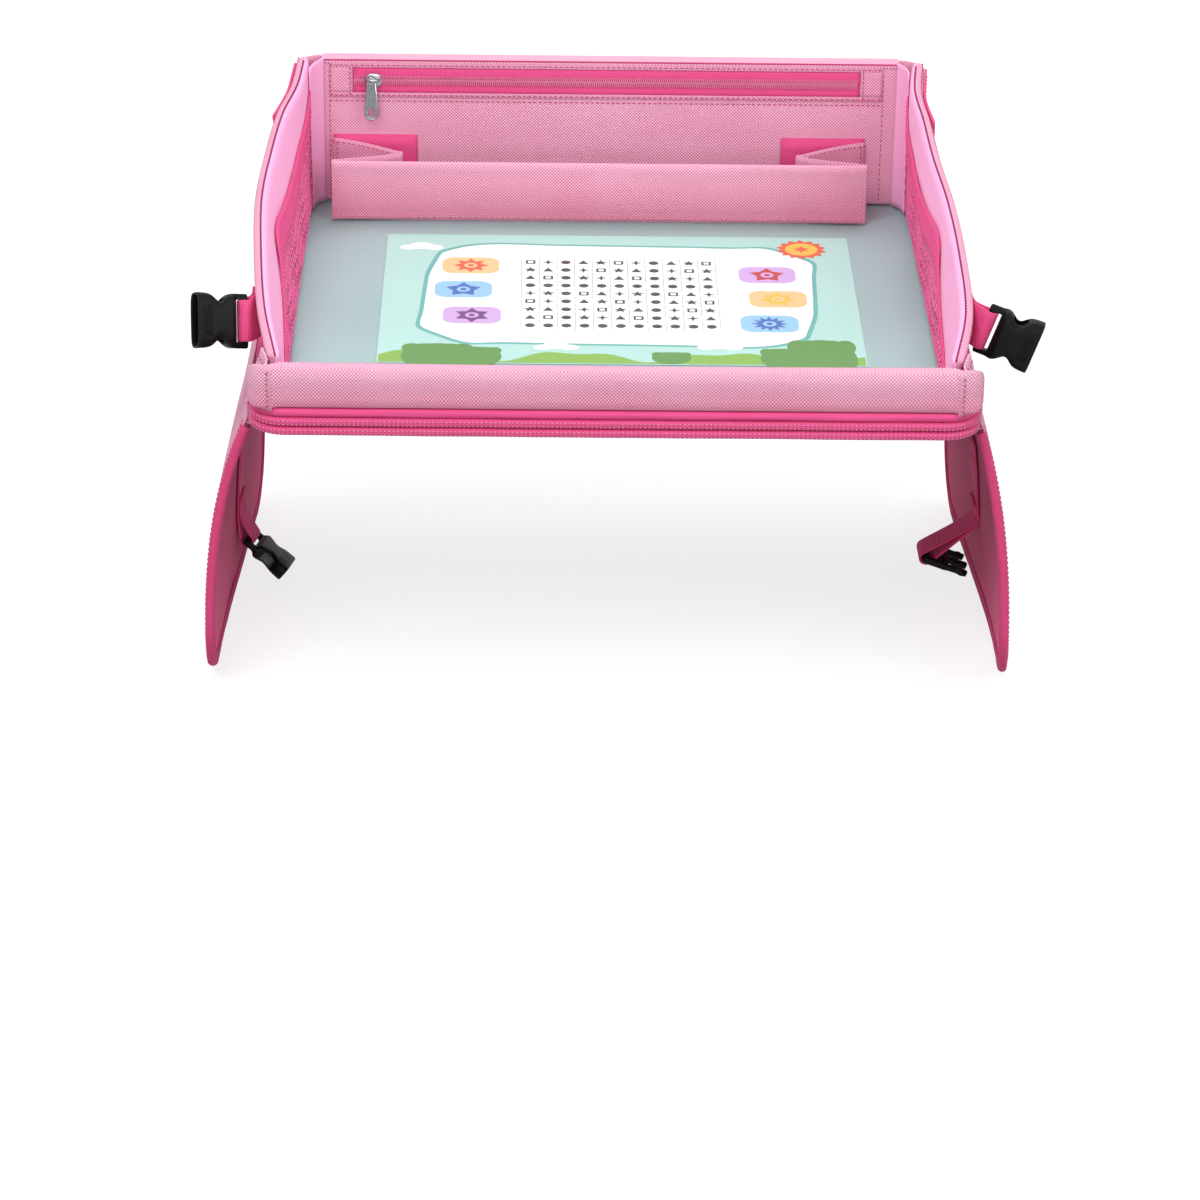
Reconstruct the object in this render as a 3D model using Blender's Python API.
"""Kids travel tray: a padded lap tray with folding walls, hanging flaps, pockets and buckles.

Metres, +Z up. X runs to the right, Y towards the back wall. The origin lies on the surface that
the flaps stand on, under the middle of the tray.
"""
import math

import bmesh
import bpy
from mathutils import Matrix, Vector

# Fits and cloth
GAP = 0.0003
CUT_OVERRUN = 0.002
SKIN = 0.0012
WEBBING_THICKNESS = 0.0014

# Base
BASE_WIDTH = 0.434
BASE_DEPTH = 0.350
BASE_THICKNESS = 0.0175
BASE_CORNER_RADIUS = 0.022
BASE_BOARD_THICKNESS = 0.0025
LINER_THICKNESS = 0.0012
FILM_THICKNESS = 0.0004
FILM_STEP = 0.0001
FILM_SLOPE = 0.0005
FILM_MARGIN = 0.010
FILM_FIELD_INSET = 0.005
FILM_FIELD_CLEARANCE = 0.0025
PIPING_HEIGHT = 0.0055
EDGE_BAND_WIDTH = 0.005
EDGE_BAND_ROUND_SHARE = 0.25
CORNER_STEPS = 5

# Activity sheet, A4
SHEET_WIDTH = 0.297
SHEET_DEPTH = 0.210
SHEET_THICKNESS = 0.0003
SHEET_RIGHT = 0.005

# Side walls
WALL_INSET = 0.022
WALL_FRONT_INSET = 0.017
WALL_BACK_INSET = 0.020
WALL_THICKNESS = 0.008
WALL_FOOT = 0.002
WALL_HINGE_RISE = 0.0055
WALL_BACK_HEIGHT = 0.1022
WALL_BOW = 0.0177
WALL_STATIONS = 16

# Side walls from front to back: where the shape is known, its height there and its outward bow
WALL_KNOT_SHARES = (0.0, 0.121, 0.265, 0.441, 0.633, 0.808, 0.92, 1.0)
WALL_HEIGHT_SHARES = (0.235, 0.392, 0.583, 0.699, 0.768, 0.825, 0.891, 1.0)
LEFT_BOW_SHARES = (0.147, 0.61, 0.859, 1.0, 0.864, 0.621, 0.203, 0.0)
RIGHT_BOW_SHARES = (0.158, 0.616, 0.559, 0.407, 0.147, 0.023, -0.136, 0.0)

# Back wall
BACK_WALL_INSET = 0.007
BACK_WALL_THICKNESS = 0.012
BACK_WALL_HEIGHT = 0.097
BACK_WALL_FRONT_INSET = 0.0125
BACK_WALL_HINGE_RISE = 0.008
BACK_WALL_STATIONS = 9

# Front lip
LIP_LAP = 0.0035
LIP_THICKNESS = 0.010
LIP_HEIGHT = 0.0245
LIP_FRONT_INSET = 0.0025
LIP_STATIONS = 10

# Shape of every padded panel, from its foot to its rim and at its ends
LEVEL_SHARES = (0.0, 0.3, 0.6, 0.85, 0.96, 1.0)
RIM_SHARES = (1.0, 1.0, 1.0, 0.95, 0.75, 0.5)
END_SHARE = 0.55
END_LENGTH = 0.003

# Front corner gussets
GUSSET_THICKNESS = 0.0015
GUSSET_LAP = 0.012
GUSSET_FRONT_INSET = 0.0005
GUSSET_REACH = 0.045
GUSSET_TALL = 0.030
GUSSET_LOW = 0.012
GUSSET_STEPS = 5

# Net pockets
NET_FRONT_INSET = 0.018
NET_BACK_INSET = 0.010
NET_GAPS_ALONG = 14
NET_GAPS_UP = 4
NET_LOW_SHARE = 0.06
NET_BAND_WIDTH = 0.0155
NET_STRAND = 0.0016
NET_STRAND_SHARE = 0.35
NET_THICKNESS = 0.0008
NET_STANDOFF = 0.0010
NET_BULGE = 0.0016

# Net pockets from front to back: where the open edge is known, its height and its band's width there
NET_KNOT_SHARES = (0.0, 0.175, 0.298, 0.368, 0.537, 0.747, 0.874, 1.0)
NET_RIM_SHARES = (0.31, 0.42, 0.60, 0.79, 0.71, 0.66, 0.70, 0.84)
NET_BAND_SHARES = (0.15, 0.15, 0.2, 1.0, 1.0, 0.95, 0.95, 1.0)

# Zip pocket
ZIP_LEFT_INSET = 0.0205
ZIP_RIGHT_INSET = 0.0255
ZIP_TOP = 0.0945
ZIP_TAPE_HEIGHT = 0.018
ZIP_TAPE_THICKNESS = 0.0005
COIL_HEIGHT = 0.0028
COIL_THICKNESS = 0.0008
COIL_SPACING = 0.0008
PATCH_WIDTH = 0.014
SLIDER_INSET = 0.012
SLIDER_WIDTH = 0.008
SLIDER_HEIGHT = 0.010
SLIDER_THICKNESS = 0.0010
PIN_RADIUS = 0.0005
EAR_WIDTH = 0.0014
EAR_HEIGHT = 0.0024
PULL_WIDTH = 0.0065
PULL_LENGTH = 0.026
PULL_THICKNESS = 0.0010
PULL_EYE_WIDTH = 0.0032
PULL_EYE_WALL = 0.0005
PULL_HOLE_LENGTH = 0.012
PULL_HOLE_WIDTH = 0.003

# Accordion pocket
POCKET_INSET = 0.014
POCKET_LEFTWARD = 0.0068
POCKET_DEPTH = 0.033
POCKET_HEIGHT = 0.040
POCKET_THICKNESS = 0.0022
POCKET_CROWN = 0.0010
POCKET_FOOT = 0.0018
POCKET_STATIONS = 9
PLEAT_DEPTH = 0.0455
PLEAT_THICKNESS = 0.0010
PLEAT_RISE = 0.004
STRIP_WIDTH = 0.055
STRIP_BAND = 0.004
STRIP_THICKNESS = 0.0007

# Rear corners
WEB_THICKNESS = 0.0012
WEB_STEPS = 6
WEB_OUT = 0.0085
TAB_LENGTH = 0.055
TAB_TOP_SHARE = 0.95
TAB_LOW_SHARE = 0.62
TAB_THICKNESS = 0.0015
TAB_STEPS = 5

# Flaps
FLAP_DROP = 0.1805
FLAP_END_INSET = 0.025
FLAP_CORNER_RADIUS = 0.0466
FLAP_FACE_THICKNESS = 0.0010
FLAP_BOARD_THICKNESS = 0.0014
LEFT_FLAP_OUT = 0.0269
RIGHT_FLAP_OUT = 0.0225
LEFT_BOW_POWER = 3.0
RIGHT_BOW_POWER = 2.5
LEFT_FLARE_SHARES = (0.51, 0.69)
RIGHT_FLARE_SHARES = (0.61, 0.90)
FLARE_POWER = 6.0
FLAP_ALONG_SHARES = (-1.0, -0.88, -0.74, -0.58, -0.4, -0.1, 0.2, 0.5, 0.76, 1.0)
FLAP_BEAD_SHARES = (0.08, 0.25, 0.5, 0.72)
FLAP_DOWN_SHARES = (0.0, 0.1, 0.22, 0.36, 0.52, 0.66)
FLAP_CORNER_STEPS = 5
FLAP_BINDING_WIDTH = 0.009
FLAP_BINDING_THICKNESS = 0.0007
FLAP_BINDING_START = 0.006
FLAP_SEAM_WIDTH = 0.0015
FLAP_SEAM_GAP = 0.0005

# Wall straps and their sockets
WALL_WEBBING = 0.025
WALL_STRAP_RISE = 0.0295
WALL_STRAP_BEHIND = 0.113
WALL_STRAP_INSET = 0.053
WALL_BAR_INSET = 0.041
WALL_BAR_OUT = 0.0100
WALL_SOCKET_LENGTH = 0.033
WALL_SOCKET_THICKNESS = 0.012
LEFT_SOCKET_TURNS = (28.0, -12.0, 24.5)
RIGHT_SOCKET_TURNS = (10.0, 18.5, 0.0)

# Flap straps, the left one's socket and the right one's plug
FLAP_WEBBING = 0.020
FLAP_STRAP_Y = 0.008
FLAP_STRAP_START_SHARE = 0.42
FLAP_STRAP_END_SHARE = 0.74
LEFT_FLAP_BAR_DROP = 0.1505
LEFT_FLAP_BAR_IN = 0.008
RIGHT_FLAP_BAR_DROP = 0.1565
RIGHT_FLAP_BAR_IN = 0.034
FLAP_SOCKET_LENGTH = 0.032
FLAP_SOCKET_THICKNESS = 0.011
FLAP_SOCKET_DOWN = 39.0
FLAP_SOCKET_YAW = 15.0
PLUG_DOWN = 20.0
PLUG_FRAME_LENGTH = 0.008
PLUG_ARM_LENGTH = 0.014
PLUG_ARM_WIDTH = 0.003
PLUG_GUIDE_WIDTH = 0.004

# Buckle details, shared by all of them
BAR_SIZE = 0.003
FRAME_THICKNESS = 0.0045
FRAME_SIDE = 0.0036
SLOT_LENGTH = 0.0055
BUCKLE_WALL = 0.0017
MOUTH_DEPTH = 0.017
WINDOW_LENGTH = 0.010
BUCKLE_BEVEL = 0.0012
LOOP_STEPS = 6
LOOP_LAP = 0.014

# Derived places
INNER_HALF = BASE_WIDTH / 2 - WALL_INSET
WALL_FRONT = BASE_DEPTH / 2 - WALL_FRONT_INSET
WALL_BACK = BASE_DEPTH / 2 - WALL_BACK_INSET
BACK_WALL_HALF = INNER_HALF - BACK_WALL_INSET
BACK_WALL_FRONT = BASE_DEPTH / 2 - BACK_WALL_FRONT_INSET
LIP_HALF = INNER_HALF + LIP_LAP
LIP_FRONT = BASE_DEPTH / 2 - LIP_FRONT_INSET
GUSSET_FRONT = BASE_DEPTH / 2 - GUSSET_FRONT_INSET
NET_FRONT = WALL_FRONT - NET_FRONT_INSET
NET_BACK = WALL_BACK - NET_BACK_INSET
ZIP_LEFT = BACK_WALL_HALF - ZIP_LEFT_INSET
ZIP_RIGHT = BACK_WALL_HALF - ZIP_RIGHT_INSET
SLIDER_X = ZIP_LEFT - SLIDER_INSET
POCKET_HALF = BACK_WALL_HALF - POCKET_INSET
WALL_STRAP_BACK = WALL_FRONT - WALL_STRAP_BEHIND
WALL_STRAP_FRONT = WALL_FRONT - WALL_STRAP_INSET
WALL_BAR_Y = WALL_FRONT - WALL_BAR_INSET
FLAP_LENGTH = BASE_DEPTH - 2 * FLAP_END_INSET
FLAP_THICKNESS = 2 * FLAP_FACE_THICKNESS + FLAP_BOARD_THICKNESS + 2 * GAP
FLAP_EDGE = GAP + FLAP_BINDING_THICKNESS
FLAP_HINGE_Z = FLAP_DROP + FLAP_EDGE
BASE_BOTTOM = FLAP_HINGE_Z + FLAP_THICKNESS / 2 + GAP
TOP = BASE_BOTTOM + BASE_THICKNESS
FLAP_HINGE_X = BASE_WIDTH / 2 + FLAP_SEAM_WIDTH / 2 + GAP
SHEET_LOW = TOP + GAP
FILM_LOW = SHEET_LOW + SHEET_THICKNESS + GAP
FILM_TOP = FILM_LOW + FILM_THICKNESS
LIP_FOOT = FILM_TOP - FILM_STEP + GAP
PULL_EYE_RADIUS = PIN_RADIUS + GAP + PULL_EYE_WALL
PIN_STANDOFF = PULL_EYE_RADIUS + GAP
BACK_WALL_HINGE = (0, BACK_WALL_FRONT, TOP + BACK_WALL_HINGE_RISE)

LIGHT_PINK = ((0.80, 0.33, 0.50, 1), 0.75, 0)
HOT_PINK = ((0.78, 0.085, 0.24, 1), 0.7, 0)
SHADE_PINK = ((0.62, 0.20, 0.33, 1), 0.8, 0)
BOARD = ((0.75, 0.72, 0.66, 1), 0.8, 0)
FOAM = ((0.85, 0.84, 0.80, 1), 0.9, 0)
GREY = ((0.45, 0.50, 0.51, 1), 0.5, 0)
CLEAR = ((0.90, 0.93, 0.93, 0.3), 0.1, 0)
PAPER = ((0.62, 0.80, 0.78, 1), 0.7, 0)
BLACK = ((0.012, 0.012, 0.012, 1), 0.45, 0)
SILVER = ((0.55, 0.55, 0.57, 1), 0.3, 1)


def material(name, look):
    """One Principled material with the part's own colour, roughness and metallic value."""
    colour, roughness, metallic = look
    made = bpy.data.materials.new(name)
    made.use_nodes = True
    shader = made.node_tree.nodes["Principled BSDF"]
    shader.inputs["Base Color"].default_value = colour
    shader.inputs["Roughness"].default_value = roughness
    shader.inputs["Metallic"].default_value = metallic
    made.diffuse_color = colour
    return made


def add_mesh(name, points, faces, look, origin=(0, 0, 0), turn=None):
    """An object from world points, or from points in its own frame where a turn is given."""
    mesh = bpy.data.meshes.new(name)
    origin = Vector(origin)
    local = [Vector(p) for p in points] if turn else [Vector(p) - origin for p in points]
    mesh.from_pydata(local, [], faces)
    work = bmesh.new()
    work.from_mesh(mesh)
    bmesh.ops.recalc_face_normals(work, faces=work.faces)
    work.to_mesh(mesh)
    work.free()
    mesh.materials.append(material(name, look))
    mesh.shade_smooth()
    mesh.set_sharp_from_angle(angle=math.radians(35))
    made = bpy.data.objects.new(name, mesh)
    made.location = origin
    if turn:
        made.rotation_euler = turn.to_euler()
    bpy.context.scene.collection.objects.link(made)
    return made


def side_faces(start, count, rings, wrap=False):
    """Quads between consecutive rings of count points each."""
    faces = []
    for ring in range(rings if wrap else rings - 1):
        a = start + ring * count
        b = start + (ring + 1) % rings * count
        for k in range(count):
            n = (k + 1) % count
            faces.append((a + k, a + n, b + n, b + k))
    return faces


def strip_cap(start, count):
    """Closes a ring that runs out along one side and back along the other."""
    return [(start + k, start + k + 1, start + count - 2 - k, start + count - 1 - k)
            for k in range(count // 2 - 1)]


def loft(name, rings, look, origin=(0, 0, 0)):
    """A closed solid through rings of equal length, capped at both ends."""
    count = len(rings[0])
    points = [p for ring in rings for p in ring]
    faces = side_faces(0, count, len(rings))
    faces += strip_cap(0, count) + strip_cap((len(rings) - 1) * count, count)
    return add_mesh(name, points, faces, look, origin)


def sleeve(name, outer, inner, look, origin=(0, 0, 0)):
    """A cover that is open at its first ring, with an outer and an inner skin."""
    count = len(outer[0])
    points = [p for ring in outer + inner for p in ring]
    inside = len(outer) * count
    faces = side_faces(0, count, len(outer)) + side_faces(inside, count, len(inner))
    faces += strip_cap(inside - count, count)
    faces += strip_cap(inside + (len(inner) - 1) * count, count)
    for k in range(count):
        n = (k + 1) % count
        faces.append((k, n, inside + n, inside + k))
    return add_mesh(name, points, faces, look, origin)


def box(name, low, high, look, origin=(0, 0, 0), turn=None):
    """A plain block between two corners."""
    rings = [[(x, low[1], low[2]), (x, high[1], low[2]), (x, high[1], high[2]), (x, low[1], high[2])]
             for x in (low[0], high[0])]
    points = rings[0] + rings[1]
    faces = side_faces(0, 4, 2) + strip_cap(0, 4) + strip_cap(4, 4)
    return add_mesh(name, points, faces, look, origin, turn)


def cut_with(target, cutter, operation="DIFFERENCE"):
    """A Boolean on target, with a cutter that the build leaves out."""
    cutter.hide_render = True
    cutter.display_type = "WIRE"
    step = target.modifiers.new(cutter.name, "BOOLEAN")
    step.operation = operation
    step.solver = "EXACT"
    step.object = cutter


def soften(target, width, segments=2):
    """Rounds a block's edges before anything is cut from it."""
    step = target.modifiers.new("soft edges", "BEVEL")
    step.width = width
    step.segments = segments


def rounded_rectangle(half_x, half_y, radius):
    """Corner points, counter-clockwise from the middle of the right side."""
    points = []
    for corner, (sx, sy) in enumerate(((1, 1), (-1, 1), (-1, -1), (1, -1))):
        for step in range(CORNER_STEPS + 1):
            angle = math.pi / 2 * (corner + step / CORNER_STEPS)
            points.append((sx * (half_x - radius) + radius * math.cos(angle),
                           sy * (half_y - radius) + radius * math.sin(angle)))
    return points


def base_outline(inset):
    """The base's outline, drawn in by inset."""
    return rounded_rectangle(BASE_WIDTH / 2 - inset, BASE_DEPTH / 2 - inset, BASE_CORNER_RADIUS - inset)


def plate(name, outline, low, high, look):
    """A flat sheet with the given outline. Its points pair up across the middle."""
    half = len(outline) // 4
    outline = outline[-half:] + outline[:-half]
    return loft(name, [[(x, y, low) for x, y in outline], [(x, y, high) for x, y in outline]], look)


def edge_band(name, low, high):
    """A band all round the base's edge, with a rounded outer side."""
    height = high - low
    round_in = EDGE_BAND_WIDTH * EDGE_BAND_ROUND_SHARE
    round_up = height * EDGE_BAND_ROUND_SHARE
    section = [(EDGE_BAND_WIDTH, low), (round_in, low), (0, low + round_up), (0, high - round_up),
               (round_in, high), (EDGE_BAND_WIDTH, high)]
    rings = [[(x, y, z) for x, y in base_outline(inset)] for inset, z in section]
    points = [p for ring in rings for p in ring]
    return add_mesh(name, points, side_faces(0, len(rings[0]), len(rings), wrap=True), HOT_PINK)


def build_film():
    """The clear film: a flat field inside the walls, and a slightly lower border under them."""
    radius = BASE_CORNER_RADIUS / 2
    border = rounded_rectangle(INNER_HALF + FILM_MARGIN, LIP_FRONT - GAP, radius)
    front = LIP_THICKNESS + FILM_FIELD_CLEARANCE - LIP_FRONT
    back = BACK_WALL_FRONT - POCKET_DEPTH - POCKET_THICKNESS - POCKET_CROWN - GAP
    half_x = INNER_HALF - FILM_FIELD_INSET
    middle_y = (front + back) / 2
    half_y = (back - front) / 2

    def field(grow):
        """The field's outline, drawn out by grow."""
        outline = rounded_rectangle(half_x + grow, half_y + grow, radius)
        return [(x, y + middle_y) for x, y in outline]

    edge_top = FILM_TOP - FILM_STEP
    levels = [(border, FILM_LOW), (border, edge_top), (field(FILM_SLOPE), edge_top), (field(0), FILM_TOP)]
    points, half = [], len(border) // 4
    for outline, z in levels:
        points += [(x, y, z) for x, y in outline[-half:] + outline[:-half]]
    count = len(border)
    faces = side_faces(0, count, len(levels)) + strip_cap(0, count)
    faces.append(tuple(range((len(levels) - 1) * count, len(levels) * count)))
    add_mesh("clear_film", points, faces, CLEAR)


def build_base():
    """The padded base, from its underside to the film that holds the sheet."""
    inside = base_outline(EDGE_BAND_WIDTH + GAP)
    low = BASE_BOTTOM
    plate("base_bottom_cover", inside, low, low + SKIN, SHADE_PINK)
    board_low = low + SKIN + GAP
    plate("base_board", inside, board_low, board_low + BASE_BOARD_THICKNESS, BOARD)
    foam_low = board_low + BASE_BOARD_THICKNESS + GAP
    plate("base_foam", inside, foam_low, TOP - LINER_THICKNESS - GAP, FOAM)
    plate("drawing_liner", inside, TOP - LINER_THICKNESS, TOP, GREY)
    build_film()
    piping_low = TOP - PIPING_HEIGHT
    row = (piping_low - BASE_BOTTOM - 2 * GAP) / 2
    edge_band("piping_band", piping_low, TOP)
    edge_band("upper_edge_binding", BASE_BOTTOM + row + GAP, piping_low - GAP)
    edge_band("lower_edge_binding", BASE_BOTTOM, BASE_BOTTOM + row)


def build_sheet():
    """The loose activity sheet under the film."""
    half = SHEET_WIDTH / 2
    box("activity_sheet", (SHEET_RIGHT - half, -SHEET_DEPTH / 2, SHEET_LOW),
        (SHEET_RIGHT + half, SHEET_DEPTH / 2, SHEET_LOW + SHEET_THICKNESS), PAPER)


class Panel:
    """A padded panel that stands on its foot: start and end along it, and a place for each point."""

    def __init__(self, start, end, thickness, stations, height, place):
        self.start = start
        self.end = end
        self.thickness = thickness
        self.stations = stations
        self.height = height
        self.place = place

    def along(self, inset):
        """Stations with their share of the full thickness, thinner at both ends."""
        first = self.start + inset
        last = self.end - inset
        inner = [first + END_LENGTH + (last - first - 2 * END_LENGTH) * k / (self.stations - 1)
                 for k in range(self.stations)]
        return [(first, END_SHARE)] + [(a, 1) for a in inner] + [(last, END_SHARE)]

    def rings(self, inset=0, lift=0):
        """Rings from the foot to the rim, drawn in by inset on all sides but the foot."""
        made = []
        middle = self.thickness / 2
        for level, rim in zip(LEVEL_SHARES, RIM_SHARES):
            out, back = [], []
            for at, end in self.along(inset):
                half = middle * min(rim, end) - inset
                rise = lift + level * (self.height(at) - inset - lift)
                out.append(self.place(at, rise, middle + half))
                back.append(self.place(at, rise, middle - half))
            made.append(out + back[::-1])
        return made


def padded_panel(panel, cover, core, look, core_look, origin=(0, 0, 0)):
    """A panel's cover and the core inside it."""
    sleeve(cover, panel.rings(), panel.rings(SKIN), look, origin)
    loft(core, panel.rings(SKIN + GAP, GAP), core_look, origin)


def table_curve(knots, values, at):
    """A smooth curve through a table's values, read at a share between the knots."""
    last = len(knots) - 1
    k = min(sum(knot <= at for knot in knots), last) - 1
    span = knots[k + 1] - knots[k]
    t = (at - knots[k]) / span

    def rise(j):
        """How much the curve climbs over this span at the slope of knot j."""
        low, high = max(j - 1, 0), min(j + 1, last)
        return (values[high] - values[low]) / (knots[high] - knots[low]) * span

    return (values[k] * (1 + 2 * t) * (1 - t) ** 2 + rise(k) * t * (1 - t) ** 2
            + values[k + 1] * t * t * (3 - 2 * t) + rise(k + 1) * t * t * (t - 1))


def wall_share(y):
    """How far along a side wall a place lies, 0 at the front and 1 at the back."""
    return min(max((y + WALL_FRONT) / (WALL_FRONT + WALL_BACK), 0), 1)


def wall_height(y):
    """A side wall's height, from low at the front to high at the back."""
    return WALL_BACK_HEIGHT * table_curve(WALL_KNOT_SHARES, WALL_HEIGHT_SHARES, wall_share(y))


def wall_place(side):
    """Places a point of a side wall: along Y, up from the foot, out from the inner face."""
    shares = LEFT_BOW_SHARES if side < 0 else RIGHT_BOW_SHARES

    def place(y, rise, out):
        bow = table_curve(WALL_KNOT_SHARES, shares, wall_share(y))
        lean = WALL_BOW * bow * rise / wall_height(y)
        return (side * (INNER_HALF + lean + out), y, TOP + WALL_FOOT + rise)
    return place


def wall_hinge(side):
    """A side wall folds about its inner face, just above its foot."""
    return (side * INNER_HALF, 0, TOP + WALL_HINGE_RISE)


def side_name(side):
    """left for -1, right for 1."""
    return "left" if side < 0 else "right"


def build_side_wall(side):
    """Cover and board of one side wall."""
    panel = Panel(-WALL_FRONT, WALL_BACK, WALL_THICKNESS, WALL_STATIONS, wall_height, wall_place(side))
    padded_panel(panel, side_name(side) + "_wall_cover", side_name(side) + "_wall_board",
                 LIGHT_PINK, BOARD, wall_hinge(side))


def net_bulge(share_along, share_up):
    """How far the net stands off the wall, most in its middle."""
    return NET_STANDOFF + NET_BULGE * math.sin(math.pi * share_along) * math.sin(math.pi * share_up / 2)


def net_levels(share_along):
    """A net's place along Y, and its rises there: its foot, its top and its band's top."""
    y = -NET_FRONT + (NET_FRONT + NET_BACK) * share_along
    height = wall_height(y)
    rim = height * table_curve(NET_KNOT_SHARES, NET_RIM_SHARES, share_along)
    band = NET_BAND_WIDTH * table_curve(NET_KNOT_SHARES, NET_BAND_SHARES, share_along)
    return y, NET_LOW_SHARE * height, rim - band, rim


def net_point(side, share_along, share_up, out):
    """A point of the net pocket: shares along and up the net, out towards the wall."""
    y, low, high, _ = net_levels(share_along)
    return wall_place(side)(y, low + (high - low) * share_up, out - net_bulge(share_along, share_up))


def strand_share(share_along):
    """Half a strand's width as a share of the net's height at a place along it."""
    _, low, high, _ = net_levels(share_along)
    return min(NET_STRAND / (high - low) / 2, NET_STRAND_SHARE / NET_GAPS_UP)


def build_net(side):
    """A flat net: a lattice of strands round open gaps."""
    half_along = NET_STRAND / (NET_FRONT + NET_BACK) / 2
    points, index, faces = [], {}, []

    def corner(key, u, v):
        for face, out in (("front", -NET_THICKNESS), ("back", 0)):
            if (face, key) not in index:
                index[(face, key)] = len(points)
                points.append(net_point(side, u, v, out))

    def quad(front, keys):
        faces.append([index[(front, key)] for key in keys])

    for i in range(NET_GAPS_ALONG):
        for j in range(NET_GAPS_UP):
            outer, hole = [], []
            for du, dv in ((0, 0), (1, 0), (1, 1), (0, 1)):
                u = (i + du) / NET_GAPS_ALONG
                v = (j + dv) / NET_GAPS_UP
                corner((i + du, j + dv), u, v)
                outer.append((i + du, j + dv))
                hole.append((i, j, du, dv))
                corner(hole[-1], u + half_along * (1 - 2 * du), v + strand_share(u) * (1 - 2 * dv))
            for k in range(4):
                n = (k + 1) % 4
                for front in ("front", "back"):
                    quad(front, (outer[k], outer[n], hole[n], hole[k]))
                faces.append([index[("front", hole[k])], index[("front", hole[n])],
                              index[("back", hole[n])], index[("back", hole[k])]])
    rim = [(i, 0) for i in range(NET_GAPS_ALONG)]
    rim += [(NET_GAPS_ALONG, j) for j in range(NET_GAPS_UP)]
    rim += [(i, NET_GAPS_UP) for i in range(NET_GAPS_ALONG, 0, -1)]
    rim += [(0, j) for j in range(NET_GAPS_UP, 0, -1)]
    for here, after in zip(rim, rim[1:] + rim[:1]):
        faces.append([index[("front", here)], index[("front", after)],
                      index[("back", after)], index[("back", here)]])
    add_mesh(side_name(side) + "_net", points, faces, HOT_PINK, wall_hinge(side))


def build_net_band(side):
    """The webbing band along the net's open edge."""
    rings = []
    place = wall_place(side)
    for k in range(NET_GAPS_ALONG + 1):
        share = k / NET_GAPS_ALONG
        y, _, low, high = net_levels(share)
        low += GAP
        near = -net_bulge(share, 1)
        far = near - NET_THICKNESS
        rings.append([place(y, low, near), place(y, high, near), place(y, high, far), place(y, low, far)])
    loft(side_name(side) + "_net_band", rings, HOT_PINK, wall_hinge(side))


def build_lip():
    """The padded roll along the front edge."""
    def place(x, rise, out):
        return (x, -LIP_FRONT + LIP_THICKNESS - out, LIP_FOOT + rise)

    panel = Panel(-LIP_HALF, LIP_HALF, LIP_THICKNESS, LIP_STATIONS, lambda x: LIP_HEIGHT, place)
    padded_panel(panel, "front_lip_cover", "front_lip_foam", LIGHT_PINK, FOAM)


def build_gusset(side):
    """The cloth that wraps a front corner, from the lip's end to the side."""
    radius = BASE_CORNER_RADIUS
    centre_x = BASE_WIDTH / 2 - radius
    centre_y = -GUSSET_FRONT + radius
    stations = [(centre_x - GUSSET_LAP, -GUSSET_FRONT, 0, -1, LIP_HEIGHT)]
    for k in range(GUSSET_STEPS + 1):
        share = k / GUSSET_STEPS
        angle = math.pi / 2 * share
        out_x, out_y = math.sin(angle), -math.cos(angle)
        tall = LIP_HEIGHT + (GUSSET_TALL - LIP_HEIGHT) * share
        stations.append((centre_x + radius * out_x, centre_y + radius * out_y, out_x, out_y, tall))
    stations.append((centre_x + radius, -GUSSET_FRONT + GUSSET_REACH, 1, 0, GUSSET_LOW))
    rings = []
    low = TOP + GAP
    for x, y, out_x, out_y, tall in stations:
        outer = (side * x, y)
        inner = (side * (x - GUSSET_THICKNESS * out_x), y - GUSSET_THICKNESS * out_y)
        rings.append([(*outer, low), (*outer, low + tall), (*inner, low + tall), (*inner, low)])
    loft(side_name(side) + "_corner_gusset", rings, LIGHT_PINK)


def back_place(x, rise, out):
    """Places a point of the back wall: along X, up from its foot, back from its front face."""
    return (x, BACK_WALL_FRONT + out, TOP + WALL_FOOT + rise)


def build_back_wall():
    """Cover and board of the back wall."""
    panel = Panel(-BACK_WALL_HALF, BACK_WALL_HALF, BACK_WALL_THICKNESS, BACK_WALL_STATIONS,
                  lambda x: BACK_WALL_HEIGHT, back_place)
    padded_panel(panel, "back_wall_cover", "back_wall_board", LIGHT_PINK, BOARD, BACK_WALL_HINGE)


def on_back_wall(name, left, right, low, high, near, thickness, look, origin=BACK_WALL_HINGE):
    """A flat piece in front of the back wall: near is its distance from the wall's face."""
    face = BACK_WALL_FRONT - near
    return box(name, (left, face - thickness, TOP + low), (right, face, TOP + high), look, origin)


def build_zip():
    """The zip's tape, its two rows of teeth and the patches at its ends."""
    tape_low = ZIP_TOP - ZIP_TAPE_HEIGHT
    on_back_wall("zipper_tape", -ZIP_LEFT, ZIP_RIGHT, tape_low, ZIP_TOP, GAP, ZIP_TAPE_THICKNESS, HOT_PINK)
    middle = (ZIP_TOP + tape_low) / 2
    near = 2 * GAP + ZIP_TAPE_THICKNESS
    for name, low in (("upper_zip_teeth", middle + COIL_SPACING / 2),
                      ("lower_zip_teeth", middle - COIL_SPACING / 2 - COIL_HEIGHT)):
        on_back_wall(name, -ZIP_LEFT, ZIP_RIGHT, low, low + COIL_HEIGHT, near, COIL_THICKNESS, HOT_PINK)
    for name, left in (("left_zip_patch", -ZIP_LEFT - GAP - PATCH_WIDTH), ("right_zip_patch", ZIP_RIGHT + GAP)):
        on_back_wall(name, left, left + PATCH_WIDTH, tape_low, ZIP_TOP, GAP, ZIP_TAPE_THICKNESS, LIGHT_PINK)


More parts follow.
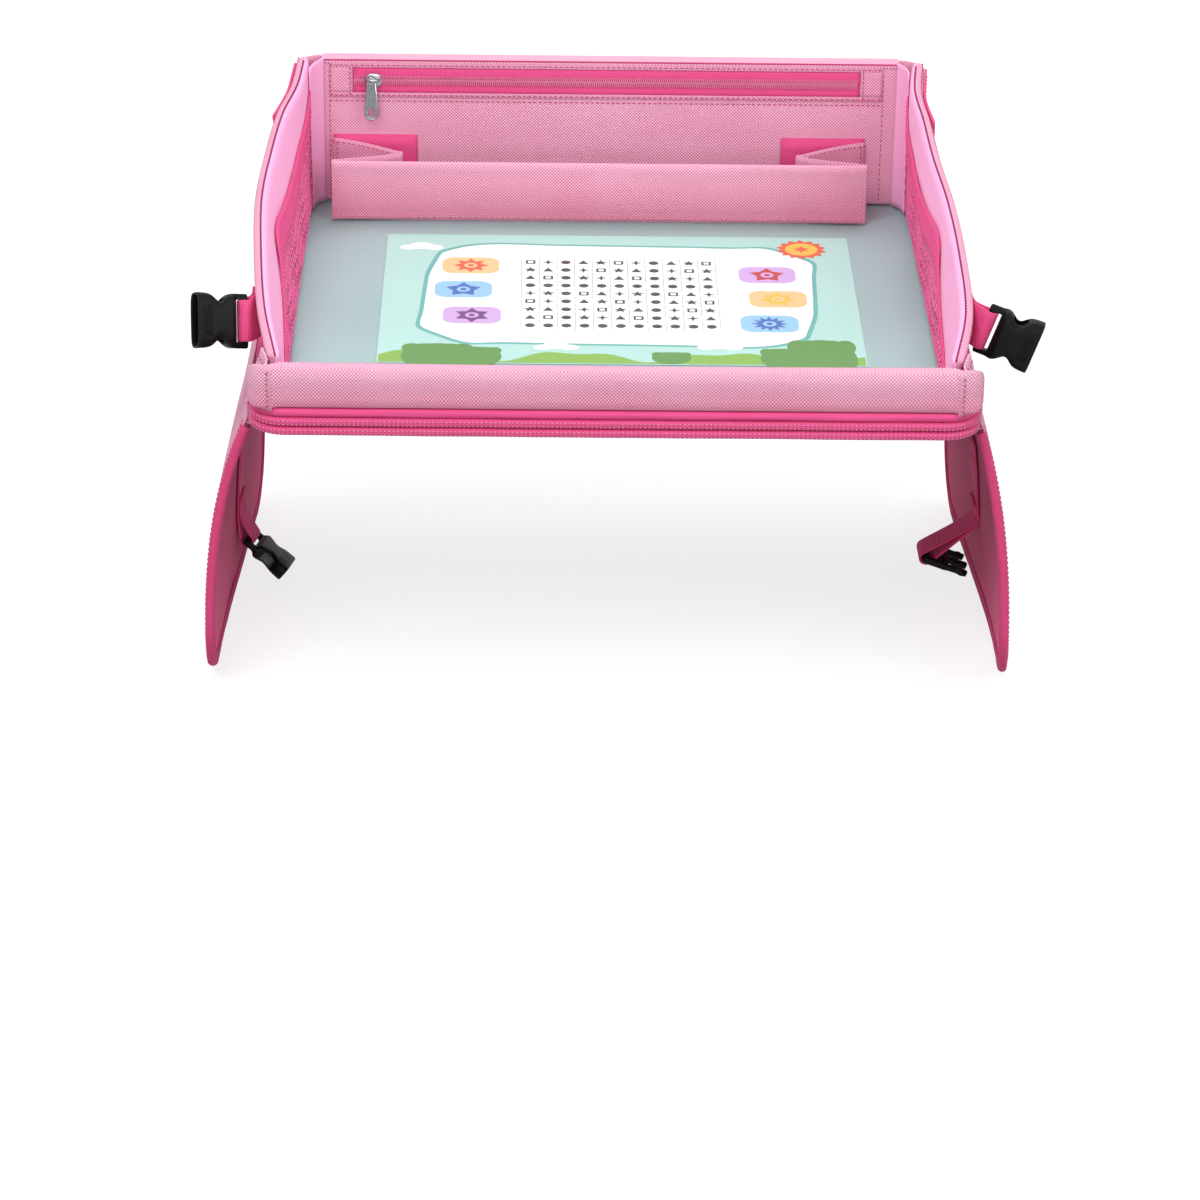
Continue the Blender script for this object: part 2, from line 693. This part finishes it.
def pin_place():
    """The middle of the slider's pin, which the pull turns about."""
    middle = ZIP_TOP - ZIP_TAPE_HEIGHT / 2
    slider_front = 3 * GAP + ZIP_TAPE_THICKNESS + COIL_THICKNESS + SLIDER_THICKNESS
    return Vector((-SLIDER_X, BACK_WALL_FRONT - slider_front - PIN_STANDOFF, TOP + middle))


def prism_x(name, outline, left, right, look, origin=(0, 0, 0)):
    """A solid with an outline in Y and Z, extruded along X."""
    rings = [[(x, y, z) for y, z in outline] for x in (left, right)]
    points = rings[0] + rings[1]
    count = len(outline)
    faces = side_faces(0, count, 2) + [tuple(range(count)), tuple(range(count, 2 * count))]
    return add_mesh(name, points, faces, look, origin)


def circle(centre_a, centre_b, radius, count=8):
    """Points round a circle, in any plane."""
    return [(centre_a + radius * math.cos(2 * math.pi * k / count),
             centre_b + radius * math.sin(2 * math.pi * k / count)) for k in range(count)]


def build_slider():
    """The zip slider, with two ears and a pin for the pull."""
    pin = pin_place()
    body_back = pin.y + PIN_STANDOFF + SLIDER_THICKNESS
    half = SLIDER_WIDTH / 2
    tall = SLIDER_HEIGHT / 2
    slider = box("zipper_slider", (pin.x - half, pin.y + PIN_STANDOFF, pin.z - tall),
                 (pin.x + half, body_back, pin.z + tall), SILVER, pin)
    soften(slider, SLIDER_THICKNESS * EDGE_BAND_ROUND_SHARE)
    ear_out = PULL_EYE_WIDTH / 2 + GAP
    for side in (-1, 1):
        near, far = sorted((pin.x + side * ear_out, pin.x + side * (ear_out + EAR_WIDTH)))
        ear = box("slider ear", (near, pin.y - PIN_RADIUS - GAP, pin.z - EAR_HEIGHT / 2),
                  (far, pin.y + PIN_STANDOFF + GAP, pin.z + EAR_HEIGHT / 2), SILVER, pin)
        cut_with(slider, ear, "UNION")
    pin_half = ear_out + EAR_WIDTH / 2
    cut_with(slider, prism_x("slider pin", circle(pin.y, pin.z, PIN_RADIUS), pin.x - pin_half,
                             pin.x + pin_half, SILVER, pin), "UNION")


def build_pull():
    """The zip pull: an eye round the pin and a plate with a long hole."""
    pin = pin_place()
    eye = PULL_EYE_RADIUS
    half = PULL_WIDTH / 2
    low = pin.z - PULL_LENGTH
    pull = box("zipper_pull", (pin.x - half, pin.y - eye, low),
               (pin.x + half, pin.y - eye + PULL_THICKNESS, pin.z - EAR_HEIGHT / 2 - GAP), SILVER, pin)
    soften(pull, PULL_THICKNESS * EDGE_BAND_ROUND_SHARE)
    eye_half = PULL_EYE_WIDTH / 2
    cut_with(pull, prism_x("pull eye", circle(pin.y, pin.z, eye, 12), pin.x - eye_half,
                           pin.x + eye_half, SILVER, pin), "UNION")
    neck = box("pull neck", (pin.x - eye_half, pin.y - eye, pin.z - EAR_HEIGHT),
               (pin.x + eye_half, pin.y - eye + PULL_THICKNESS, pin.z), SILVER, pin)
    cut_with(pull, neck, "UNION")
    wide = eye_half + CUT_OVERRUN
    cut_with(pull, prism_x("pull bore", circle(pin.y, pin.z, PIN_RADIUS + GAP, 12), pin.x - wide,
                           pin.x + wide, SILVER, pin))
    hole_low = low + PULL_HOLE_WIDTH / 2
    cut_with(pull, box("pull hole", (pin.x - PULL_HOLE_WIDTH / 2, pin.y - eye - CUT_OVERRUN, hole_low),
                       (pin.x + PULL_HOLE_WIDTH / 2, pin.y + CUT_OVERRUN, hole_low + PULL_HOLE_LENGTH),
                       SILVER, pin))


def pocket_x(side):
    """Where the accordion pocket ends on a side. The pocket lies a little to the left."""
    return side * POCKET_HALF - POCKET_LEFTWARD


def build_pocket():
    """The accordion pocket's front panel and its pleated ends."""
    front = BACK_WALL_FRONT - POCKET_DEPTH
    low = TOP + POCKET_FOOT
    rings = []
    for k in range(POCKET_STATIONS):
        share = k / (POCKET_STATIONS - 1)
        x = pocket_x(-1) * (1 - share) + pocket_x(1) * share
        crown = POCKET_CROWN * math.sin(math.pi * share)
        near = front - POCKET_THICKNESS
        rings.append([(x, near, low), (x, near - crown, low + POCKET_HEIGHT / 2),
                      (x, near, low + POCKET_HEIGHT), (x, front, low + POCKET_HEIGHT),
                      (x, front, low + POCKET_HEIGHT / 2), (x, front, low)])
    loft("pocket_front", rings, LIGHT_PINK, BACK_WALL_HINGE)
    for side in (-1, 1):
        build_pleat(side, front)
        outer = pocket_x(side)
        inner = outer - side * STRIP_WIDTH
        left, right = sorted((outer, inner))
        on_back_wall(side_name(side) + "_pocket_strip", left, right, POCKET_HEIGHT,
                     POCKET_HEIGHT + PLEAT_RISE + STRIP_BAND, GAP, STRIP_THICKNESS, HOT_PINK)


def build_pleat(side, front):
    """One pocket end: a single pleat, folded inwards between the wall and the front panel."""
    half = side * pocket_x(side)
    low = TOP + POCKET_FOOT
    wall_y = BACK_WALL_FRONT - 2 * GAP - STRIP_THICKNESS
    fold_y = (wall_y + front) / 2
    fold_x = half - PLEAT_DEPTH
    thick = PLEAT_THICKNESS
    tall = POCKET_HEIGHT + PLEAT_RISE
    stations = [((half, wall_y - thick / 2), (0, thick / 2), tall),
                ((fold_x, fold_y), (-thick, 0), POCKET_HEIGHT),
                ((half, front + GAP + thick / 2), (0, -thick / 2), POCKET_HEIGHT)]
    rings = []
    for (x, y), (dx, dy), high in stations:
        outer = (side * (x + dx / 2), y + dy)
        inner = (side * (x - dx / 2), y - dy)
        rings.append([(*outer, low), (*outer, low + high), (*inner, low + high), (*inner, low)])
    loft(side_name(side) + "_pocket_pleat", rings, LIGHT_PINK, BACK_WALL_HINGE)


def build_corner_web(side):
    """The soft cloth that closes a rear corner, from the back wall's end to the side wall's."""
    start_x = BACK_WALL_HALF + GAP
    end_y = WALL_BACK + GAP
    reach_x = INNER_HALF + WEB_OUT - start_x
    reach_y = BACK_WALL_FRONT + BACK_WALL_THICKNESS * (1 - END_SHARE / 2) - end_y
    tall = min(BACK_WALL_HEIGHT, wall_height(WALL_BACK))
    rings = []
    for k in range(WEB_STEPS + 1):
        angle = math.pi / 2 * k / WEB_STEPS
        ring = []
        for shrink in (0, WEB_THICKNESS):
            x = start_x + (reach_x - shrink) * math.sin(angle)
            y = end_y + (reach_y - shrink) * math.cos(angle)
            ring.append((side * x, y))
        (ox, oy), (ix, iy) = ring
        low = TOP + WALL_FOOT
        rings.append([(ox, oy, low), (ox, oy, low + tall), (ix, iy, low + tall), (ix, iy, low)])
    loft(side_name(side) + "_corner_web", rings, LIGHT_PINK, BACK_WALL_HINGE)


def tab_hinge(side):
    """A rear tab is sewn on at the rear corner and peels about an upright line."""
    return (side * (INNER_HALF + WALL_THICKNESS + GAP + TAB_THICKNESS / 2), WALL_BACK - GAP,
            TOP + WALL_FOOT + WALL_BACK_HEIGHT * TAB_LOW_SHARE)


def build_tab(side):
    """The hook-and-loop tab that runs from a rear corner along the side wall's outside."""
    place = wall_place(side)
    rings = []
    for k in range(TAB_STEPS + 1):
        y = WALL_BACK - GAP - TAB_LENGTH * k / TAB_STEPS
        height = wall_height(y)
        low = TAB_LOW_SHARE * height
        high = TAB_TOP_SHARE * height
        near = WALL_THICKNESS + 2 * GAP
        far = near + TAB_THICKNESS
        rings.append([place(y, low, near), place(y, high, near), place(y, high, far), place(y, low, far)])
    loft(side_name(side) + "_corner_tab", rings, HOT_PINK, tab_hinge(side))


def flare(side, y):
    """How much of its full outward lean a flap has, most towards its front corner."""
    rear, slope = LEFT_FLARE_SHARES if side < 0 else RIGHT_FLARE_SHARES
    forward = 0.5 - y / FLAP_LENGTH
    return rear + slope * forward + (1 - rear - slope) * forward ** FLARE_POWER


def flap_middle(side, y, drop):
    """A point of a flap's middle surface: along Y, down from its hinge."""
    full = LEFT_FLAP_OUT if side < 0 else RIGHT_FLAP_OUT
    power = LEFT_BOW_POWER if side < 0 else RIGHT_BOW_POWER
    out = full * (1 - max(1 - drop / FLAP_DROP, 0) ** power) * flare(side, y)
    return Vector((side * (FLAP_HINGE_X + out), y, FLAP_HINGE_Z - drop))


def flap_normal(side, y, drop):
    """Outward across the flap."""
    probe = GAP
    down = flap_middle(side, y, drop) - flap_middle(side, y, drop - probe)
    along = flap_middle(side, y + probe, drop) - flap_middle(side, y - probe, drop)
    normal = down.cross(along).normalized()
    return normal if normal.x * side > 0 else -normal


def flap_point(side, y, drop, out):
    """A point at a distance out from the flap's middle surface."""
    return flap_middle(side, y, drop) + flap_normal(side, y, drop) * out


def flap_half(drop, inset=0):
    """Half the flap's length at a drop, less where its corners are round."""
    radius = FLAP_CORNER_RADIUS
    into = max(drop - (FLAP_DROP - radius), 0)
    return FLAP_LENGTH / 2 - radius + math.sqrt(max(radius ** 2 - into ** 2, 0)) - inset


def flap_drops():
    """Levels down a flap: even ones, then closer ones round the corner."""
    radius = FLAP_CORNER_RADIUS
    straight = FLAP_DROP - radius
    drops = [straight * share / FLAP_DOWN_SHARES[-1] for share in FLAP_DOWN_SHARES]
    for k in range(1, FLAP_CORNER_STEPS + 1):
        drops.append(straight + radius * math.sin(math.pi / 2 * k / FLAP_CORNER_STEPS))
    return drops


def flap_bead(side):
    """Rings of the round bead that the flap turns on, centred on its hinge line."""
    radius = FLAP_THICKNESS / 2
    across = flap_normal(side, 0, 0)
    down = Vector((across.z, 0, -across.x)) * side
    ys = [FLAP_LENGTH / 2 * share for share in FLAP_ALONG_SHARES]
    rings = []
    for share in FLAP_BEAD_SHARES:
        angle = math.pi * share
        along = down * -math.cos(angle) * radius
        half = across * math.sin(angle) * radius
        middles = [Vector((side * FLAP_HINGE_X, y, FLAP_HINGE_Z)) + along for y in ys]
        rings.append([m + half for m in middles] + [m - half for m in reversed(middles)])
    return rings


def flap_layer(name, side, near, far, look, bead=()):
    """One layer of a flap between two distances from its middle surface."""
    rings = list(bead)
    first = FLAP_THICKNESS / 2 + GAP
    for drop in [first] + [d for d in flap_drops() if d > first]:
        half = flap_half(drop)
        ys = [half * share for share in FLAP_ALONG_SHARES]
        rings.append([flap_point(side, y, drop, far) for y in ys]
                     + [flap_point(side, y, drop, near) for y in reversed(ys)])
    loft(name, rings, look, (side * FLAP_HINGE_X, 0, FLAP_HINGE_Z))


def build_flap(side):
    """The two cloth faces of a flap and the board between them."""
    name = side_name(side)
    half_board = FLAP_BOARD_THICKNESS / 2
    half = FLAP_THICKNESS / 2
    flap_layer(name + "_flap_outer_face", side, half_board + GAP, half, LIGHT_PINK)
    flap_layer(name + "_flap_board", side, -half_board, half_board, BOARD, flap_bead(side))
    flap_layer(name + "_flap_inner_face", side, -half, -half_board - GAP, SHADE_PINK)


def flap_border():
    """The flap's bound edge: (along Y, drop, inward along Y, inward down) from front to rear."""
    radius = FLAP_CORNER_RADIUS
    straight = FLAP_DROP - radius
    half = FLAP_LENGTH / 2
    downs = [FLAP_BINDING_START] + [d for d in flap_drops() if FLAP_BINDING_START < d <= straight]
    front = [(-half, d, 1, 0) for d in downs]
    for k in range(1, FLAP_CORNER_STEPS + 1):
        angle = math.pi / 2 * k / FLAP_CORNER_STEPS
        front.append((-half + radius - radius * math.cos(angle), straight + radius * math.sin(angle),
                      math.cos(angle), -math.sin(angle)))
    bottom = [(half * share, FLAP_DROP, 0, -1) for share in FLAP_ALONG_SHARES
              if abs(half * share) < half - radius]
    rear = [(-y, d, -a, b) for y, d, a, b in reversed(front)]
    return front + bottom + rear


def build_flap_binding(side):
    """The binding: a channel of tape folded round the flap's three free edges."""
    inner = FLAP_THICKNESS / 2 + FLAP_SEAM_GAP
    outer = inner + FLAP_BINDING_THICKNESS
    section = [(-FLAP_EDGE, outer), (FLAP_BINDING_WIDTH, outer), (FLAP_BINDING_WIDTH, inner), (-GAP, inner),
               (-GAP, -inner), (FLAP_BINDING_WIDTH, -inner), (FLAP_BINDING_WIDTH, -outer), (-FLAP_EDGE, -outer)]
    rings = []
    for y, drop, in_y, in_drop in flap_border():
        rings.append([flap_point(side, y + in_y * a, drop + in_drop * a, b) for a, b in section])
    count = len(section)
    points = [p for ring in rings for p in ring]
    faces = side_faces(0, count, len(rings))
    for start in (0, (len(rings) - 1) * count):
        faces += [tuple(start + k for k in quad) for quad in ((0, 1, 2, 3), (0, 3, 4, 7), (4, 5, 6, 7))]
    add_mesh(side_name(side) + "_flap_binding", points, faces, HOT_PINK, (side * FLAP_HINGE_X, 0, FLAP_HINGE_Z))


def build_flap_seam(side):
    """The strip on the base's side that the flap is sewn to."""
    inner = BASE_WIDTH / 2 + GAP
    outer = inner + FLAP_SEAM_WIDTH
    low = FLAP_HINGE_Z + FLAP_THICKNESS / 2 + GAP
    half = FLAP_LENGTH / 2
    left, right = sorted((side * inner, side * outer))
    box(side_name(side) + "_flap_seam", (left, -half, low), (right, half, TOP - PIPING_HEIGHT), HOT_PINK)


def ribbon(name, stations, look, origin):
    """Webbing through stations of (place, width direction, half width)."""
    places = [Vector(place) for place, _, _ in stations]
    rings = []
    for k, (_, wide, half) in enumerate(stations):
        before = places[max(k - 1, 0)]
        after = places[min(k + 1, len(places) - 1)]
        wide = Vector(wide).normalized()
        thick = (after - before).cross(wide).normalized() * WEBBING_THICKNESS / 2
        here = places[k]
        rings.append([here - wide * half - thick, here + wide * half - thick,
                      here + wide * half + thick, here - wide * half + thick])
    loft(name, rings, look, origin)


def buckle_frame(point_at, bar):
    """A buckle's own frame: X where it points, Z along its bar, Y across its thickness."""
    x_axis = Vector(point_at).normalized()
    z_axis = (Vector(bar) - x_axis * Vector(bar).dot(x_axis)).normalized()
    y_axis = z_axis.cross(x_axis)
    return Matrix((x_axis, y_axis, z_axis)).transposed()


def loop_radius():
    """Middle of the webbing where it goes round a buckle's bar."""
    corner = math.hypot(BAR_SIZE, FRAME_THICKNESS) / 2
    return corner + 2 * GAP + WEBBING_THICKNESS / 2


def loop_stations(centre, frame, leave, half):
    """Webbing half way round a buckle's bar.

    leave is the direction from the bar back to where the webbing comes from, in radians in the
    buckle's own X and Y.
    """
    bar = frame.col[2]
    radius = loop_radius()
    stations = []
    for k in range(LOOP_STEPS + 1):
        angle = leave + math.pi / 2 + math.pi * k / LOOP_STEPS
        offset = frame @ Vector((radius * math.cos(angle), radius * math.sin(angle), 0))
        stations.append((Vector(centre) + offset, bar, half))
    return stations


def socket(name, centre, frame, webbing, length, thickness):
    """A side-release socket: an end bar for the webbing, a slot, and a body with a mouth."""
    half_width = webbing / 2 + FRAME_SIDE + GAP
    slot_end = BAR_SIZE / 2 + SLOT_LENGTH
    half_thick = thickness / 2
    body = box(name, (slot_end, -half_thick, -half_width), (length, half_thick, half_width), BLACK, centre, frame)
    soften(body, BUCKLE_BEVEL)
    parts = (("socket frame", (-BAR_SIZE / 2, -FRAME_THICKNESS / 2, -half_width),
              (slot_end + BUCKLE_WALL, FRAME_THICKNESS / 2, half_width), "UNION"),
             ("socket slot", (BAR_SIZE / 2, -thickness, -webbing / 2 - GAP),
              (slot_end - GAP, thickness, webbing / 2 + GAP), "DIFFERENCE"),
             ("socket mouth", (length - MOUTH_DEPTH, -half_thick + BUCKLE_WALL, -half_width + BUCKLE_WALL),
              (length + CUT_OVERRUN, half_thick - BUCKLE_WALL, half_width - BUCKLE_WALL), "DIFFERENCE"),
             ("socket windows", (length - MOUTH_DEPTH + BUCKLE_WALL, -half_thick + 2 * BUCKLE_WALL,
                                 -half_width - CUT_OVERRUN),
              (length - MOUTH_DEPTH + BUCKLE_WALL + WINDOW_LENGTH, half_thick - 2 * BUCKLE_WALL,
               half_width + CUT_OVERRUN), "DIFFERENCE"))
    for part, low, high, operation in parts:
        cut_with(body, box(part, low, high, BLACK, centre, frame), operation)


def plug(name, centre, frame, webbing):
    """A side-release plug: an end bar, a slot, a shoulder, two spring arms and a middle guide."""
    half_width = webbing / 2 + FRAME_SIDE + GAP
    slot_end = BAR_SIZE / 2 + SLOT_LENGTH
    shoulder = slot_end + PLUG_FRAME_LENGTH
    tip = shoulder + PLUG_ARM_LENGTH
    half_thick = FRAME_THICKNESS / 2
    body = box(name, (-BAR_SIZE / 2, -half_thick, -half_width), (shoulder, half_thick, half_width),
               BLACK, centre, frame)
    barb = tip - PLUG_ARM_WIDTH * 2
    for side in (-1, 1):
        inner, outer = sorted((side * (half_width - PLUG_ARM_WIDTH), side * half_width))
        cut_with(body, box("plug arm", (shoulder - GAP, -half_thick, inner), (tip, half_thick, outer),
                           BLACK, centre, frame), "UNION")
        low, high = sorted((side * (half_width - PLUG_ARM_WIDTH), side * (half_width + BUCKLE_WALL)))
        cut_with(body, box("plug barb", (barb, -half_thick + GAP, low), (tip - GAP, half_thick - GAP, high),
                           BLACK, centre, frame), "UNION")
    guide = PLUG_GUIDE_WIDTH / 2
    cut_with(body, box("plug guide", (shoulder - GAP, -half_thick, -guide), (tip, half_thick, guide),
                       BLACK, centre, frame), "UNION")
    cut_with(body, box("plug slot", (BAR_SIZE / 2, -2 * half_thick, -webbing / 2 - GAP),
                       (slot_end, 2 * half_thick, webbing / 2 + GAP), BLACK, centre, frame))


def wall_bar(side):
    """The middle of a wall socket's bar."""
    x, _, z = wall_place(side)(-WALL_BAR_Y, WALL_STRAP_RISE, WALL_THICKNESS + WALL_BAR_OUT)
    return Vector((x, -WALL_BAR_Y, z))


def wall_buckle_frame(side):
    """A wall socket's own frame: turned forwards, then down, then about its length."""
    turns = LEFT_SOCKET_TURNS if side < 0 else RIGHT_SOCKET_TURNS
    yaw, tilt, roll = (math.radians(turn) for turn in turns)
    point_at = Vector((side * math.cos(yaw) * math.cos(tilt), -math.sin(yaw) * math.cos(tilt),
                       -math.sin(tilt)))
    bar = (point_at.cross((0, 0, 1))).cross(point_at) * side
    return buckle_frame(point_at, Matrix.Rotation(roll, 3, point_at) @ bar)


def build_wall_buckle(side):
    """A wall strap and the socket that its loop holds."""
    frame = wall_buckle_frame(side)
    centre = wall_bar(side)
    half = WALL_WEBBING / 2
    place = wall_place(side)
    layer = WALL_THICKNESS + 2 * GAP + WEBBING_THICKNESS / 2
    steps = LOOP_STEPS
    bar = frame.col[2]

    def on_wall(y, out):
        """A station on the wall's outside, as wide as the webbing along the wall's own slope."""
        low = Vector(place(y, WALL_STRAP_RISE - half, out))
        high = Vector(place(y, WALL_STRAP_RISE + half, out))
        return ((low + high) / 2, (high - low) * math.copysign(1, bar.z), half)

    sewn = [on_wall(-WALL_STRAP_BACK - (WALL_STRAP_FRONT - WALL_STRAP_BACK) * k / steps, layer)
            for k in range(steps + 1)]
    tail_out = layer + WEBBING_THICKNESS + GAP
    tail = [on_wall(-WALL_STRAP_FRONT, tail_out + GAP), on_wall(-WALL_STRAP_FRONT + LOOP_LAP, tail_out)]
    towards = frame.transposed() @ (Vector(sewn[-1][0]) - centre)
    leave = math.atan2(towards.y, towards.x)
    outward = frame.transposed() @ (Vector(tail[0][0]) - Vector(sewn[-1][0]))
    turns_left = towards.x * outward.y - towards.y * outward.x < 0
    stations = loop_stations(centre, frame, leave, half)
    if not turns_left:
        stations = stations[::-1]
    ribbon(side_name(side) + "_wall_strap", sewn + stations + tail, HOT_PINK, wall_hinge(side))
    socket(side_name(side) + "_wall_socket", centre, frame, WALL_WEBBING, WALL_SOCKET_LENGTH,
           WALL_SOCKET_THICKNESS)


def flap_bar(side, drop, inward):
    """The middle of a flap buckle's bar."""
    inner = -FLAP_THICKNESS / 2 - inward
    return flap_point(side, FLAP_STRAP_Y, drop, inner)


def flap_strap(side, centre, frame):
    """The webbing sewn on a flap's inner face, with its loop round a buckle's bar."""
    half = FLAP_WEBBING / 2
    layer = -FLAP_THICKNESS / 2 - 2 * GAP - WEBBING_THICKNESS / 2
    start = FLAP_DROP * FLAP_STRAP_START_SHARE
    end = FLAP_DROP * FLAP_STRAP_END_SHARE
    bar = frame.col[2]

    def on_flap(drop, out):
        """A station on the flap's inner face, as wide as the webbing along the flap's own slope."""
        front = flap_point(side, FLAP_STRAP_Y - half, drop, out)
        rear = flap_point(side, FLAP_STRAP_Y + half, drop, out)
        return ((front + rear) / 2, (rear - front) * math.copysign(1, bar.y), half)

    sewn = [on_flap(start + (end - start) * k / LOOP_STEPS, layer) for k in range(LOOP_STEPS + 1)]
    over = layer - WEBBING_THICKNESS - GAP
    tail = [on_flap(end, over - GAP), on_flap(end - LOOP_LAP, over)]
    towards = frame.transposed() @ (Vector(sewn[-1][0]) - centre)
    outward = frame.transposed() @ (Vector(tail[0][0]) - Vector(sewn[-1][0]))
    leave = math.atan2(towards.y, towards.x)
    stations = loop_stations(centre, frame, leave, half)
    if towards.x * outward.y - towards.y * outward.x >= 0:
        stations = stations[::-1]
    ribbon(side_name(side) + "_flap_strap", sewn + stations + tail, HOT_PINK,
           (side * FLAP_HINGE_X, 0, FLAP_HINGE_Z))


def build_flap_buckles():
    """The socket on the left flap and the plug on the right flap, each on its strap."""
    down = math.radians(FLAP_SOCKET_DOWN)
    yaw = math.radians(FLAP_SOCKET_YAW)
    point_at = (math.cos(down) * math.cos(yaw), -math.cos(down) * math.sin(yaw), -math.sin(down))
    frame = buckle_frame(point_at, (0, 1, 0))
    centre = flap_bar(-1, LEFT_FLAP_BAR_DROP, LEFT_FLAP_BAR_IN)
    flap_strap(-1, centre, frame)
    socket("left_flap_socket", centre, frame, FLAP_WEBBING, FLAP_SOCKET_LENGTH, FLAP_SOCKET_THICKNESS)
    down = math.radians(PLUG_DOWN)
    frame = buckle_frame((math.cos(down), 0, -math.sin(down)), (0, 1, 0))
    centre = flap_bar(1, RIGHT_FLAP_BAR_DROP, RIGHT_FLAP_BAR_IN)
    flap_strap(1, centre, frame)
    plug("right_flap_plug", centre, frame, FLAP_WEBBING)


def main():
    """Builds every piece."""
    for old in list(bpy.data.objects):
        bpy.data.objects.remove(old)
    build_base()
    build_sheet()
    build_lip()
    build_back_wall()
    build_zip()
    build_slider()
    build_pull()
    build_pocket()
    for side in (-1, 1):
        build_gusset(side)
        build_side_wall(side)
        build_net(side)
        build_net_band(side)
        build_corner_web(side)
        build_tab(side)
        build_flap(side)
        build_flap_binding(side)
        build_flap_seam(side)
        build_wall_buckle(side)
    build_flap_buckles()


main()
